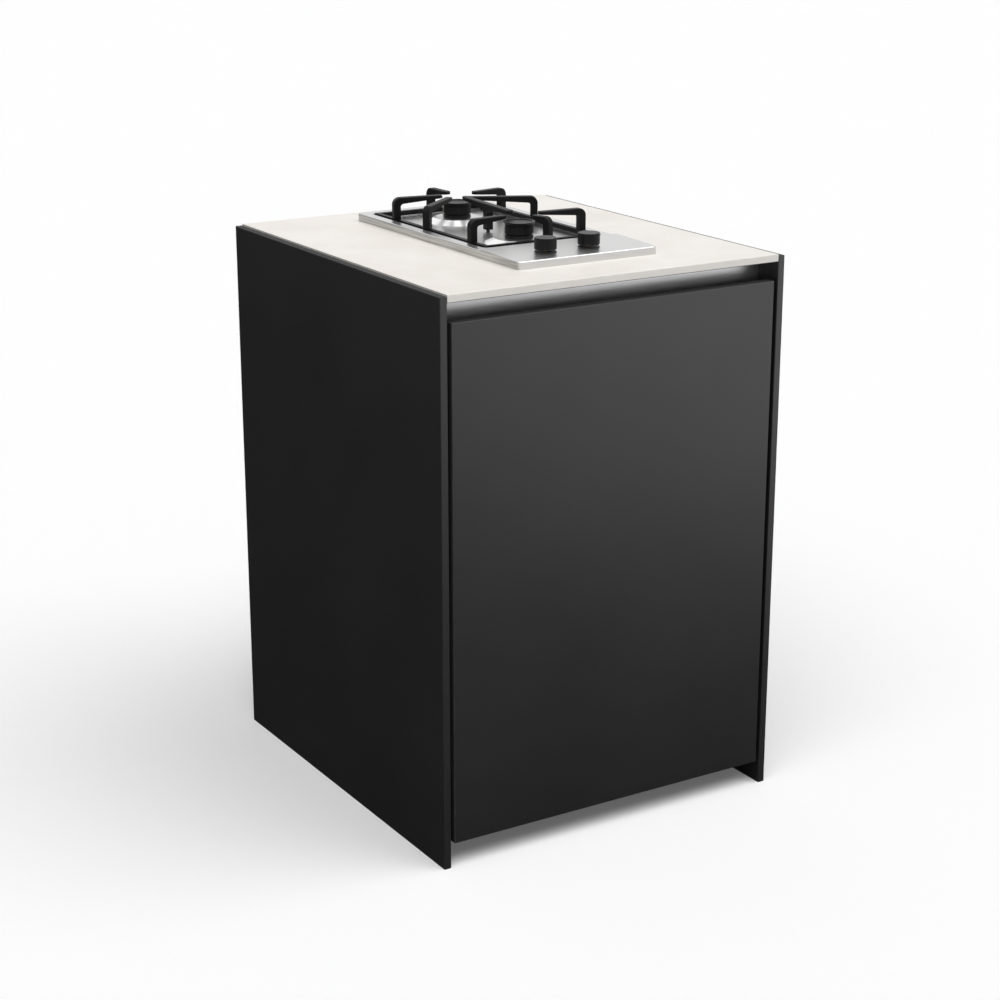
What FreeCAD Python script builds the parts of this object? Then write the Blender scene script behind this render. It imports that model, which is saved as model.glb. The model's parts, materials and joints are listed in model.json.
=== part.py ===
# Outdoor kitchen side burner unit: a cabinet between two leg panels, a slab
# top and a two-burner gas hob let into it. Millimetres, +Z up, front at -Y,
# origin on the floor at the middle of the footprint.
import FreeCAD, Part
import math
import os

import Sketcher
from FreeCAD import Placement, Rotation, Vector

doc = FreeCAD.newDocument("side_burner_unit")
sheet = doc.addObject("Spreadsheet::Sheet", "sizes")
pieces = []


class Size:
    # A length, angle or count that carries its number and its formula.
    def __init__(self, number, formula):
        self.number = number
        self.formula = formula

    def __add__(self, other):
        other = as_size(other)
        return Size(self.number + other.number, f"({self.formula} + {other.formula})")

    def __sub__(self, other):
        other = as_size(other)
        return Size(self.number - other.number, f"({self.formula} - {other.formula})")

    def __mul__(self, other):
        other = as_size(other)
        return Size(self.number * other.number, f"({self.formula} * {other.formula})")

    def __truediv__(self, other):
        other = as_size(other)
        return Size(self.number / other.number, f"({self.formula} / {other.formula})")

    def __radd__(self, other):
        return as_size(other) + self

    def __rsub__(self, other):
        return as_size(other) - self

    def __rmul__(self, other):
        return as_size(other) * self

    def __neg__(self):
        return Size(-self.number, f"(0 - {self.formula})")


def as_size(amount):
    return amount if isinstance(amount, Size) else Size(amount, f"({amount})")


def distance(across, along):
    across, along = as_size(across), as_size(along)
    return Size(math.hypot(across.number, along.number), f"hypot({across.formula}; {along.formula})")


def bearing(across, along):
    across, along = as_size(across), as_size(along)
    angle = math.degrees(math.atan2(along.number, across.number))
    return Size(angle, f"atan2({along.formula}; {across.formula})")


def size(name, number):
    row = size.rows = size.rows + 1
    sheet.set(f"A{row}", name)
    sheet.set(f"B{row}", str(number))
    sheet.setAlias(f"B{row}", name)
    return Size(number, f"sizes.{name}")


size.rows = 0

# Overall
unit_width = size("unit_width", 624)  # over the outside of both leg panels
panel_height = size("panel_height", 900)
panel_thick = size("panel_thick", 12)
edge_chamfer = size("edge_chamfer", 0.8)

# Slab
slab_thick = size("slab_thick", 12)
slab_proud = size("slab_proud", 2.5)  # slab face above the panel tops
slab_side_gap = size("slab_side_gap", 0.5)

# Carcass
board_thick = size("board_thick", 16)
back_thick = size("back_thick", 10)
back_inset = size("back_inset", 15)
carcass_lift = size("carcass_lift", 49)  # underside above the floor
rail_height = size("rail_height", 70)
vent_width = size("vent_width", 6)
vent_length = size("vent_length", 120)
vent_pitch = size("vent_pitch", 26)
vent_count = size("vent_count", 9)
vent_inset = size("vent_inset", 60)
hose_hole = size("hose_hole", 22)
hose_height = size("hose_height", 180)

# Door
door_thick = size("door_thick", 20)
door_side_gap = size("door_side_gap", 7)
door_lift = size("door_lift", 40)
door_back_gap = size("door_back_gap", 6)
pull_height = size("pull_height", 30)  # open height between door and slab

# Finger channel
channel_depth = size("channel_depth", 48)
channel_wall = size("channel_wall", 2)
channel_round = size("channel_round", 16)
finger_room = size("finger_room", 28)  # channel floor below the door's top

# Door pivots
pivot_edge = size("pivot_edge", 10)  # axis in from the hinge edge
pivot_face = size("pivot_face", 12)  # axis behind the door's face
pin_radius = size("pin_radius", 2.5)
pin_length = size("pin_length", 18)
bush_wall = size("bush_wall", 2.5)
bracket_thick = size("bracket_thick", 3)
bracket_neck = size("bracket_neck", 11)
bracket_width = size("bracket_width", 26)
bracket_length = size("bracket_length", 38)
bracket_leg = size("bracket_leg", 34)
upper_bracket_drop = size("upper_bracket_drop", 30)
notch_room = size("notch_room", 2.5)
running_gap = size("running_gap", 0.05)
rest_gap = size("rest_gap", 0.3)

# Door catch and bumpers
catch_width = size("catch_width", 14)
catch_length = size("catch_length", 32)
catch_height = size("catch_height", 46)
catch_drop = size("catch_drop", 40)
strike_thick = size("strike_thick", 1.5)
bumper_radius = size("bumper_radius", 4.5)
bumper_inset = size("bumper_inset", 60)

# Hob plate
hob_width = size("hob_width", 256)
hob_depth = size("hob_depth", 520)
hob_shift = size("hob_shift", 10)  # hob's middle right of the unit's middle
hob_setback = size("hob_setback", 99)
hob_rear_gap = size("hob_rear_gap", 71)
hob_sheet = size("hob_sheet", 1.2)
hob_corner = size("hob_corner", 8)
rim_height = size("rim_height", 13)
rim_side = size("rim_side", 16)
rim_back = size("rim_back", 20)
control_depth = size("control_depth", 112)
ridge_rise = size("ridge_rise", 3)
ridge_ledge = size("ridge_ledge", 14)
well_depth = size("well_depth", 10)
well_corner = size("well_corner", 12)
dome_height = size("dome_height", 8)
front_dome_foot = size("front_dome_foot", 56)
front_dome_flat = size("front_dome_flat", 40)
rear_dome_foot = size("rear_dome_foot", 50)
rear_dome_flat = size("rear_dome_flat", 39)
rim_round = size("rim_round", 2)
front_burner_set = size("front_burner_set", 188)
rear_burner_back = size("rear_burner_back", 112)  # from the plate's rear edge
front_burner_left = size("front_burner_left", 10)  # of the plate's middle
rear_burner_right = size("rear_burner_right", 4)

# Hob under-box and fixings
tray_inset = size("tray_inset", 12)
tray_sheet = size("tray_sheet", 1)
tray_depth = size("tray_depth", 52)
cutout_gap = size("cutout_gap", 2)
cutout_corner = size("cutout_corner", 8)
seal_width = size("seal_width", 6)
seal_height = size("seal_height", 4)
clamp_width = size("clamp_width", 20)
clamp_reach = size("clamp_reach", 22)
clamp_thick = size("clamp_thick", 2)
clamp_drop = size("clamp_drop", 18)
clamp_inset = size("clamp_inset", 90)

# Burners
ring_radius = size("ring_radius", 23)
ring_height = size("ring_height", 4)
neck_radius = size("neck_radius", 20.5)
neck_height = size("neck_height", 2)
crown_radius = size("crown_radius", 23)
crown_height = size("crown_height", 13)
crown_wall = size("crown_wall", 3)
crown_chamfer = size("crown_chamfer", 1.5)
throat_radius = size("throat_radius", 12)
throat_wall = size("throat_wall", 2)
throat_length = size("throat_length", 14)
flame_slots = size("flame_slots", 18)
slot_width = size("slot_width", 1.1)
slot_depth = size("slot_depth", 2.6)
cap_skirt = size("cap_skirt", 3.5)
cap_flare = size("cap_flare", 2.6)
cap_lip = size("cap_lip", 1)
cap_dish = size("cap_dish", 1.6)
spigot_depth = size("spigot_depth", 3)
cup_flange_radius = size("cup_flange_radius", 36)
cup_flange = size("cup_flange", 3)
cup_radius = size("cup_radius", 20)
cup_wall = size("cup_wall", 3)
cup_depth = size("cup_depth", 28)
cup_base = size("cup_base", 14)
boss_radius = size("boss_radius", 6)
boss_reach = size("boss_reach", 24)
injector_radius = size("injector_radius", 4)
injector_height = size("injector_height", 9)
probe_radius = size("probe_radius", 2.5)
probe_collar = size("probe_collar", 4)
collar_height = size("collar_height", 2)
probe_height = size("probe_height", 12)  # above the dome
probe_drop = size("probe_drop", 18)  # below the burner cup's flange
wire_radius = size("wire_radius", 0.8)
wire_height = size("wire_height", 4)
electrode_right = size("electrode_right", 20)
electrode_back = size("electrode_back", 24)
thermocouple_left = size("thermocouple_left", 8)
thermocouple_back = size("thermocouple_back", 30)

# Pan support
support_height = size("support_height", 37)  # finger tops above the rim
support_gap = size("support_gap", 5)  # rail to well wall
bar_width = size("bar_width", 8)
bar_height = size("bar_height", 7.5)
bar_proud = size("bar_proud", 1.5)  # rail top above the rim
finger_width = size("finger_width", 12)
finger_height = size("finger_height", 11)
finger_bevel = size("finger_bevel", 1.2)
tip_height = size("tip_height", 5)
tip_bevel = size("tip_bevel", 2)
tip_side = size("tip_side", 3.5)  # cut off each side of a tip
knee_outer = size("knee_outer", 12)
knee_inner = size("knee_inner", 5)
tip_near = size("tip_near", 27)  # tip to burner axis
tip_far = size("tip_far", 35)
nose_reach = size("nose_reach", 33)
rear_post_after = size("rear_post_after", 18)  # behind the rear burner
middle_post_before = size("middle_post_before", 86)  # in front of it
centre_post_before = size("centre_post_before", 113)
side_post_before = size("side_post_before", 9)  # in front of the front burner
near_post_right = size("near_post_right", 21)  # of the front burner
foot_radius = size("foot_radius", 3)

# Knobs and gas taps
knob_set = size("knob_set", 46)
knob_left = size("knob_left", 11)  # pair's middle, left of the plate's middle
knob_spread = size("knob_spread", 80)
knob_radius = size("knob_radius", 17.5)
knob_height = size("knob_height", 18.5)
knob_lift = size("knob_lift", 2.6)  # above the bezel
knob_wall = size("knob_wall", 2.5)
knob_taper = size("knob_taper", 0.8)
knob_skirt = size("knob_skirt", 1.5)
bezel_radius = size("bezel_radius", 17.5)
bezel_thick = size("bezel_thick", 1.5)
hub_radius = size("hub_radius", 7)
nub_reach = size("nub_reach", 1.6)
nub_width = size("nub_width", 3)
nub_height = size("nub_height", 5)
nub_drop = size("nub_drop", 2)
knob_push = size("knob_push", 2)
stem_radius = size("stem_radius", 4)
stem_grip = size("stem_grip", 12)
stem_hole_gap = size("stem_hole_gap", 1.5)
stem_collar = size("stem_collar", 6)
seat_thick = size("seat_thick", 1.5)
tap_gap = size("tap_gap", 3)
tap_radius = size("tap_radius", 12)
cover_thick = size("cover_thick", 2)
chamber_radius = size("chamber_radius", 8)
chamber_depth = size("chamber_depth", 13)
stem_bore_depth = size("stem_bore_depth", 11)
tap_base = size("tap_base", 9)
outlet_reach = size("outlet_reach", 18)
spring_wall = size("spring_wall", 1.6)

# Gas pipes
tube_radius = size("tube_radius", 4)
tube_bend = size("tube_bend", 9)
tube_jog_before = size("tube_jog_before", 110)  # in front of the rear burner
manifold_radius = size("manifold_radius", 6)
manifold_set = size("manifold_set", 27)
manifold_side = size("manifold_side", 28)
manifold_bend = size("manifold_bend", 18)
manifold_start = size("manifold_start", 40)
clip_width = size("clip_width", 10)
inlet_back = size("inlet_back", 50)  # from the plate's rear edge
inlet_radius = size("inlet_radius", 13)
inlet_neck = size("inlet_neck", 8)
nipple_radius = size("nipple_radius", 10)
nipple_length = size("nipple_length", 22)  # below the under-box
inlet_reach = size("inlet_reach", 20)
ignition_width = size("ignition_width", 46)
ignition_length = size("ignition_length", 70)
ignition_height = size("ignition_height", 22)
ignition_side = size("ignition_side", 26)
ignition_set = size("ignition_set", 250)

doc.recompute()

# Levels and faces that several pieces share
unit_depth = hob_setback + hob_depth + hob_rear_gap
front = -unit_depth / 2
rear = unit_depth / 2
inside = unit_width / 2 - panel_thick
slab_top = panel_height + slab_proud
slab_under = slab_top - slab_thick
door_top = slab_under - pull_height
door_back = front + door_thick
carcass_front = door_back + door_back_gap
board_inside = inside - board_thick
back_face = rear - back_inset - back_thick
bottom_face = carcass_lift + board_thick
channel_face = front + channel_depth
channel_floor = door_top - finger_room
hob_left = hob_shift - hob_width / 2
hob_right = hob_shift + hob_width / 2
hob_front = front + hob_setback
hob_rear = hob_front + hob_depth
rim_top = slab_top + rim_height
well_floor = rim_top - well_depth
dome_top = well_floor + dome_height
tray_under = slab_top - tray_depth
tray_floor = tray_under + tray_sheet
cup_top = dome_top - hob_sheet
gas_level = cup_top - cup_depth - cup_base / 2


def bind(item, prop, amount):
    item.setExpression(prop, as_size(amount).formula)


def keep(item, name):
    item.Label = name
    pieces.append(item)
    return item


def put(item, x, y, z):
    for letter, amount in zip("xyz", (x, y, z)):
        bind(item, f"Placement.Base.{letter}", amount)


def fill_box(box, x, y, z):
    for prop, letter, (low, high) in (("Length", "x", x), ("Width", "y", y), ("Height", "z", z)):
        bind(box, prop, high - low)
        bind(box, f"Placement.Base.{letter}", low)
    return box


def block(name, x, y, z):
    # Box between a pair of limits along each axis.
    return fill_box(doc.addObject("Part::Box", name), x, y, z)


turns = {"x": Rotation(Vector(0, 1, 0), 90), "y": Rotation(Vector(1, 0, 0), -90), "z": Rotation()}


def fill_rod(bar, axis, radius, centre, start, end):
    bar.Placement = Placement(Vector(), turns[axis])
    bind(bar, "Radius", radius)
    bind(bar, "Height", end - start)
    spot = list(centre)
    spot.insert("xyz".index(axis), start)
    put(bar, *spot)
    return bar


def rod(name, axis, radius, centre, start, end):
    # Cylinder along an axis; centre gives the other two coordinates.
    return fill_rod(doc.addObject("Part::Cylinder", name), axis, radius, centre, start, end)


def elbow(name, bend, radius, centre, turn):
    # Quarter bend of a round tube lying flat.
    ring = doc.addObject("Part::Torus", name)
    ring.Angle3 = 90
    ring.Placement = Placement(Vector(), Rotation(Vector(0, 0, 1), turn))
    bind(ring, "Radius1", bend)
    bind(ring, "Radius2", radius)
    put(ring, *centre)
    return ring


def join(name, *shapes):
    result = doc.addObject("Part::MultiFuse", name)
    result.Shapes = list(shapes)
    result.Refine = True
    return result


def cut(name, base, *tools):
    result = doc.addObject("Part::Cut", name)
    result.Base = base
    result.Tool = tools[0] if len(tools) == 1 else join(f"{name}_tools", *tools)
    return result


def group(name, *shapes):
    result = doc.addObject("Part::Compound", name)
    result.Links = list(shapes)
    return result


def origin_part(body, role):
    return next(item for item in body.Origin.OriginFeatures if item.Role == role)


def draw(body, role, name, level, *loops):
    # Sketch of closed outlines on a plane of the body, moved out to a level.
    drawing = body.newObject("Sketcher::SketchObject", name)
    drawing.AttachmentSupport = [(origin_part(body, role), "")]
    drawing.MapMode = "FlatFace"
    bind(drawing, "AttachmentOffset.Base.z", level)
    for loop in loops:
        corners = [(as_size(x), as_size(y)) for x, y in loop]
        spots = [Vector(x.number, y.number, 0) for x, y in corners]
        first = drawing.GeometryCount
        count = len(corners)
        for i in range(count):
            drawing.addGeometry(Part.LineSegment(spots[i], spots[(i + 1) % count]), False)
        for i in range(count):
            end = first + (i + 1) % count
            drawing.addConstraint(Sketcher.Constraint("Coincident", first + i, 2, end, 1))
        for i, corner in enumerate(corners):
            for kind, axis, amount in zip(("DistanceX", "DistanceY"), (-2, -1), corner):
                if amount.number == 0:
                    drawing.addConstraint(Sketcher.Constraint("PointOnObject", first + i, 1, axis))
                    continue
                rule = drawing.addConstraint(Sketcher.Constraint(kind, first + i, 1, amount.number))
                drawing.setExpression(f"Constraints[{rule}]", amount.formula)
    return drawing


def new_body(name):
    return doc.addObject("PartDesign::Body", name)


def pad(body, role, name, level, length, *loops):
    drawing = draw(body, role, f"{name}_sketch", level, *loops)
    feature = body.newObject("PartDesign::Pad", name)
    feature.Profile = drawing
    bind(feature, "Length", length)
    return feature


def pocket(body, role, name, level, length, *loops, upward=False):
    # Hollow cut from a level, against the plane's normal unless turned upward.
    drawing = draw(body, role, f"{name}_sketch", level, *loops)
    feature = body.newObject("PartDesign::Pocket", name)
    feature.Profile = drawing
    feature.Reversed = upward
    bind(feature, "Length", length)
    return feature


def rectangle(x, y):
    return [(x[0], y[0]), (x[1], y[0]), (x[1], y[1]), (x[0], y[1])]


def hollow(body, name, x, y, z):
    return fill_box(body.newObject("PartDesign::SubtractiveBox", name), x, y, z)


def bore(body, name, axis, radius, centre, start, end):
    return fill_rod(body.newObject("PartDesign::SubtractiveCylinder", name), axis, radius, centre, start, end)


def stub(body, name, axis, radius, centre, start, end):
    return fill_rod(body.newObject("PartDesign::AdditiveCylinder", name), axis, radius, centre, start, end)


def cone(body, kind, name, foot, head, height, x, y, z):
    feature = body.newObject(f"PartDesign::{kind}Cone", name)
    bind(feature, "Radius1", foot)
    bind(feature, "Radius2", head)
    bind(feature, "Height", height)
    put(feature, x, y, z)
    return feature


def edges_at(feature, spots):
    # Names of the edges that pass through the given spots.
    found = []
    for spot in spots:
        corner = Part.Vertex(Vector(*(as_size(amount).number for amount in spot)))
        for number, edge in enumerate(feature.Shape.Edges, 1):
            if edge.distToShape(corner)[0] < 1e-4:
                found.append(f"Edge{number}")
    return found


def soften(body, kind, name, amount, spots):
    # Fillet or chamfer of the edges through the given spots.
    base = body.Tip
    doc.recompute()
    names = edges_at(base, spots)
    feature = body.newObject(f"PartDesign::{kind}", name)
    feature.Base = (base, names)
    bind(feature, "Radius" if kind == "Fillet" else "Size", amount)
    return feature


def repeat_line(body, name, feature, role, length, count):
    pattern = body.newObject("PartDesign::LinearPattern", name)
    pattern.Originals = [feature]
    pattern.Direction = (origin_part(body, role), [""])
    bind(pattern, "Length", length)
    bind(pattern, "Occurrences", count)
    body.Tip = pattern
    return pattern


def repeat_round(body, name, feature, count):
    pattern = body.newObject("PartDesign::PolarPattern", name)
    pattern.Originals = [feature]
    pattern.Axis = (origin_part(body, "Z_Axis"), [""])
    pattern.Angle = 360
    bind(pattern, "Occurrences", count)
    body.Tip = pattern
    return pattern


def turned(name, corners, x, y, z):
    # Body turned about its own upright axis from a half profile.
    body = new_body(name)
    drawing = draw(body, "XZ_Plane", f"{name}_profile", 0, corners)
    feature = body.newObject("PartDesign::Revolution", f"{name}_turn")
    feature.Profile = drawing
    feature.ReferenceAxis = (drawing, ["V_Axis"])
    feature.Angle = 360
    put(body, x, y, z)
    return body


def leg_panel(name, low):
    # Upright panel; its show edges carry a fine chamfer.
    body = new_body(name)
    pad(body, "YZ_Plane", f"{name}_pad", low, panel_thick, rectangle((front, rear), (0, panel_height)))
    spots = []
    for x in (low, low + panel_thick):
        spots.append((x, front, panel_height / 2))
        spots.append((x, rear, panel_height / 2))
        spots.append((x, 0, panel_height))
    soften(body, "Chamfer", f"{name}_edges", edge_chamfer, spots)
    return keep(body, name)


leg_panel("left_panel", -unit_width / 2)
leg_panel("right_panel", inside)

# Slab with the opening for the hob
slab_side = inside - slab_side_gap
opening = tray_inset - cutout_gap
opening_x = (hob_left + opening, hob_right - opening)
opening_y = (hob_front + opening, hob_rear - opening)
slab = new_body("countertop_slab")
pad(slab, "XY_Plane", "slab_pad", slab_under, slab_thick,
    rectangle((-slab_side, slab_side), (front, rear)), rectangle(opening_x, opening_y))
slab_middle = slab_under + slab_thick / 2
soften(slab, "Fillet", "opening_corners", cutout_corner,
       [(x, y, slab_middle) for x in opening_x for y in opening_y])
soften(slab, "Chamfer", "slab_edges", edge_chamfer,
       [(0, front, slab_top), (0, front, slab_under), (0, rear, slab_top)])
keep(slab, "countertop_slab")


def carcass_side(name, low):
    # Side board with the notch that takes the finger channel.
    body = new_body(name)
    corners = [
        (carcass_front, carcass_lift),
        (back_face, carcass_lift),
        (back_face, slab_under),
        (channel_face + channel_wall, slab_under),
        (channel_face + channel_wall, channel_floor - channel_wall),
        (carcass_front, channel_floor - channel_wall),
    ]
    pad(body, "YZ_Plane", f"{name}_pad", low, board_thick, corners)
    return keep(body, name)


carcass_side("carcass_left", -inside)
carcass_side("carcass_right", board_inside)

# Floor board with its row of gas-safety vents
vent_row = vent_pitch * (vent_count - 1)
floor_board = new_body("carcass_bottom")
pad(floor_board, "XY_Plane", "floor_pad", carcass_lift, board_thick,
    rectangle((-board_inside, board_inside), (carcass_front, back_face)))
floor_vent = hollow(floor_board, "floor_vent",
                    (-vent_row / 2 - vent_width / 2, -vent_row / 2 + vent_width / 2),
                    (-vent_length / 2, vent_length / 2), (carcass_lift, bottom_face))
repeat_line(floor_board, "floor_vents", floor_vent, "X_Axis", vent_row, vent_count)
keep(floor_board, "carcass_bottom")

# Back board with a high row of vents and the hole for a gas hose
back_board = new_body("carcass_back")
pad(back_board, "XZ_Plane", "back_pad", -(back_face + back_thick), back_thick,
    rectangle((-slab_side, slab_side), (carcass_lift, slab_under)))
vent_head = slab_under - rail_height - vent_inset
back_vent = hollow(back_board, "back_vent",
                   (-vent_row / 2 - vent_width / 2, -vent_row / 2 + vent_width / 2),
                   (back_face, back_face + back_thick), (vent_head - vent_length, vent_head))
repeat_line(back_board, "back_vents", back_vent, "X_Axis", vent_row, vent_count)
bore(back_board, "hose_way", "y", hose_hole, (hob_right, hose_height), back_face, back_face + back_thick)
keep(back_board, "carcass_back")

# Cross rails that carry the slab and the finger channel
rail_z = (slab_under - rail_height, slab_under)
rail_x = (-board_inside, board_inside)
channel_back = channel_face + channel_wall
keep(block("front_rail", rail_x, (channel_back, channel_back + board_thick), rail_z), "front_rail")
keep(block("rear_rail", rail_x, (back_face - board_thick, back_face), rail_z), "rear_rail")

# Finger channel: an upright wall that curves forward into a floor
channel = new_body("finger_channel")
channel_under = channel_floor - channel_wall
pad(channel, "YZ_Plane", "channel_pad", -slab_side, slab_side * 2, [
    (channel_face, slab_under),
    (channel_face, channel_floor),
    (carcass_front, channel_floor),
    (carcass_front, channel_under),
    (channel_back, channel_under),
    (channel_back, slab_under),
])
soften(channel, "Fillet", "channel_curve", channel_round, [(0, channel_face, channel_floor)])
keep(channel, "finger_channel")

# Door pivots: each bracket is screwed inside the right-hand board and
# reaches into a notch in the back corner of the door
door_side = inside - door_side_gap
pivot_x = door_side - pivot_edge
pivot_y = front + pivot_face
neck_half = bracket_neck / 2
bush_radius = pin_radius + running_gap + bush_wall
lower_plate = bottom_face
upper_plate = channel_under - upper_bracket_drop


def pivot_bracket(name, level, leg_low):
    top = level + bracket_thick
    base_x = (board_inside - bracket_width, board_inside)
    base = block(f"{name}_base", base_x, (carcass_front, carcass_front + bracket_length), (level, top))
    neck_x = (pivot_x - neck_half, pivot_x + neck_half)
    neck = block(f"{name}_neck", neck_x, (pivot_y, carcass_front), (level, top))
    root = block(f"{name}_root", (pivot_x - neck_half, board_inside),
                 (carcass_front - rest_gap, carcass_front + neck_half), (level, top))
    end = rod(f"{name}_end", "z", neck_half, (pivot_x, pivot_y), level, top)
    leg = block(f"{name}_leg", (board_inside - bracket_thick, board_inside),
                (carcass_front, carcass_front + bracket_length), (leg_low, leg_low + bracket_leg))
    solid = join(f"{name}_solid", base, neck, root, end, leg)
    hole = rod(f"{name}_hole", "z", pin_radius, (pivot_x, pivot_y), level, top)
    return keep(cut(name, solid, hole), name)


pivot_bracket("lower_pivot_bracket", lower_plate, lower_plate)
pivot_bracket("upper_pivot_bracket", upper_plate, upper_plate + bracket_thick - bracket_leg)

door = new_body("door_leaf")
pad(door, "XZ_Plane", "door_pad", -door_back, door_thick,
    rectangle((-door_side, door_side), (door_lift, door_top)))
soften(door, "Chamfer", "door_edges", edge_chamfer, [
    (0, front, door_top),
    (0, front, door_lift),
    (-door_side, front, panel_height / 2),
    (door_side, front, panel_height / 2),
])
for place, level in (("lower", lower_plate), ("upper", upper_plate)):
    notch_top = level + bracket_thick + rest_gap
    pin_top = level + bracket_thick + pin_length
    keep(rod(f"{place}_pivot_pin", "z", pin_radius, (pivot_x, pivot_y), level, pin_top), f"{place}_pivot_pin")
    hollow(door, f"{place}_notch", (pivot_x - neck_half - notch_room, door_side),
           (pivot_y - neck_half - notch_room, door_back), (level - notch_room, notch_top))
    bush_top = pin_top + notch_room
    bore(door, f"{place}_bush_hole", "z", bush_radius, (pivot_x, pivot_y), notch_top, bush_top)
    sleeve = rod(f"{place}_sleeve", "z", bush_radius, (pivot_x, pivot_y), notch_top, bush_top)
    pin_way = rod(f"{place}_pin_way", "z", pin_radius + running_gap, (pivot_x, pivot_y),
                  notch_top, pin_top + rest_gap)
    keep(cut(f"{place}_bush", sleeve, pin_way), f"{place}_bush")

# Magnetic catch on the left-hand board, its strike plate let into the door
catch_top = channel_under - catch_drop
catch_z = (catch_top - catch_height, catch_top)
catch_x = (-board_inside, -board_inside + catch_width)
strike_face = door_back - strike_thick
hollow(door, "strike_recess", catch_x, (strike_face, door_back), catch_z)
keep(door, "door_leaf")
keep(block("strike_plate", catch_x, (strike_face, door_back), catch_z), "strike_plate")
keep(block("door_catch", catch_x, (door_back + rest_gap, door_back + catch_length), catch_z), "door_catch")
bumper_x = -inside + board_thick / 2
bumpers = []
for place, height in (("low", carcass_lift + bumper_inset), ("high", channel_under - bumper_inset)):
    bumpers.append(rod(f"{place}_bumper", "y", bumper_radius, (bumper_x, height),
                       door_back + rest_gap, carcass_front))
keep(group("door_bumpers", *bumpers), "door_bumpers")

# Hob plate, pressed from one sheet: rim, sloped control panel and well
well_x = (hob_left + rim_side, hob_right - rim_side)
well_y = (hob_front + control_depth + ridge_ledge, hob_rear - rim_back)
ridge = hob_front + control_depth
slope = ridge_rise / control_depth
burner_x = {"front": hob_shift - front_burner_left, "rear": hob_shift + rear_burner_right}
burner_y = {"front": hob_front + front_burner_set, "rear": hob_rear - rear_burner_back}
knob_y = hob_front + knob_set
knob_middle = hob_shift - knob_left
knob_x = {"left": knob_middle - knob_spread / 2, "right": knob_middle + knob_spread / 2}
throat_hole = cup_radius - cup_wall
plate = new_body("hob_top")
pad(plate, "XY_Plane", "rim_pad", slab_top, rim_height,
    rectangle((hob_left, hob_right), (hob_front, hob_rear)))
pad(plate, "YZ_Plane", "control_pad", hob_left, hob_width, [
    (hob_front, rim_top - hob_sheet),
    (ridge, rim_top - hob_sheet),
    (ridge, rim_top + ridge_rise),
    (hob_front, rim_top),
])
inner_x = (hob_left + hob_sheet, hob_right - hob_sheet)
inner_y = (hob_front + hob_sheet, hob_rear - hob_sheet)
around_x = (well_x[0] - hob_sheet, well_x[1] + hob_sheet)
around_y = (well_y[0] - hob_sheet, well_y[1] + hob_sheet)
pocket(plate, "XY_Plane", "well_underside", slab_top, well_floor - hob_sheet - slab_top,
       rectangle(inner_x, inner_y), upward=True)
pocket(plate, "XY_Plane", "rim_underside", slab_top, rim_height - hob_sheet,
       rectangle(inner_x, inner_y), rectangle(around_x, around_y), upward=True)
hollow_rear = ridge - hob_sheet
pocket(plate, "YZ_Plane", "control_underside", inner_x[1], hob_width - hob_sheet * 2, [
    (inner_y[0], rim_top - hob_sheet * 2),
    (hollow_rear, rim_top - hob_sheet * 2),
    (hollow_rear, rim_top - hob_sheet + slope * (control_depth - hob_sheet)),
    (inner_y[0], rim_top - hob_sheet + slope * hob_sheet),
])
rim_middle = slab_top + rim_height / 2
soften(plate, "Fillet", "hob_inner_corners", hob_corner - hob_sheet,
       [(x, y, rim_middle) for x in inner_x for y in inner_y])
soften(plate, "Fillet", "hob_corners", hob_corner,
       [(x, y, rim_middle) for x in (hob_left, hob_right) for y in (hob_front, hob_rear)])
rim_spots = [(hob_shift, hob_front, rim_top), (hob_shift, hob_rear, rim_top)]
for x in (hob_left, hob_right):
    rim_spots.append((x, hob_front + control_depth / 2, rim_top + ridge_rise / 2))
    rim_spots.append((x, ridge + control_depth, rim_top))
soften(plate, "Fillet", "rim_edges", rim_round, rim_spots)
pocket(plate, "XY_Plane", "well", well_floor, well_depth + ridge_rise, rectangle(well_x, well_y), upward=True)
soften(plate, "Fillet", "well_corners", well_corner,
       [(x, y, rim_top - well_depth / 2) for x in well_x for y in well_y])
probe_spots = {
    "electrode": (electrode_right, electrode_back),
    "thermocouple": (-thermocouple_left, thermocouple_back),
}
domes = {"front": (front_dome_foot, front_dome_flat), "rear": (rear_dome_foot, rear_dome_flat)}
for place, y in burner_y.items():
    x = burner_x[place]
    cone(plate, "Additive", f"{place}_dome", *domes[place], dome_height, x, y, well_floor)
    cone(plate, "Subtractive", f"{place}_dome_underside", *domes[place], dome_height,
         x, y, well_floor - hob_sheet)
    bore(plate, f"{place}_throat_way", "z", throat_hole, (x, y), well_floor, dome_top)
    for probe, (right, back) in probe_spots.items():
        bore(plate, f"{place}_{probe}_way", "z", probe_radius + rest_gap, (x + right, y + back),
             well_floor, dome_top)
for side, x in knob_x.items():
    bore(plate, f"{side}_stem_way", "z", stem_radius + stem_hole_gap, (x, knob_y),
         slab_top, rim_top + ridge_rise)
keep(plate, "hob_top")

# Foam seal under the rim, the under-box and the clamps that hold the hob down
seal = new_body("hob_seal")
seal_in = hob_sheet + seal_width
pad(seal, "XY_Plane", "seal_pad", slab_top, seal_height, rectangle(inner_x, inner_y),
    rectangle((hob_left + seal_in, hob_right - seal_in), (hob_front + seal_in, hob_rear - seal_in)))
soften(seal, "Fillet", "seal_corners", hob_corner - hob_sheet,
       [(x, y, slab_top + seal_height / 2) for x in inner_x for y in inner_y])
keep(seal, "hob_seal")
tray_x = (hob_left + tray_inset, hob_right - tray_inset)
tray_y = (hob_front + tray_inset, hob_rear - tray_inset)
tray_top = rim_top - hob_sheet
inlet_x = hob_right - manifold_side
inlet_y = hob_rear - inlet_back
tray_inner_x = (tray_x[0] + tray_sheet, tray_x[1] - tray_sheet)
tray_inner_y = (tray_y[0] + tray_sheet, tray_y[1] - tray_sheet)
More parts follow.
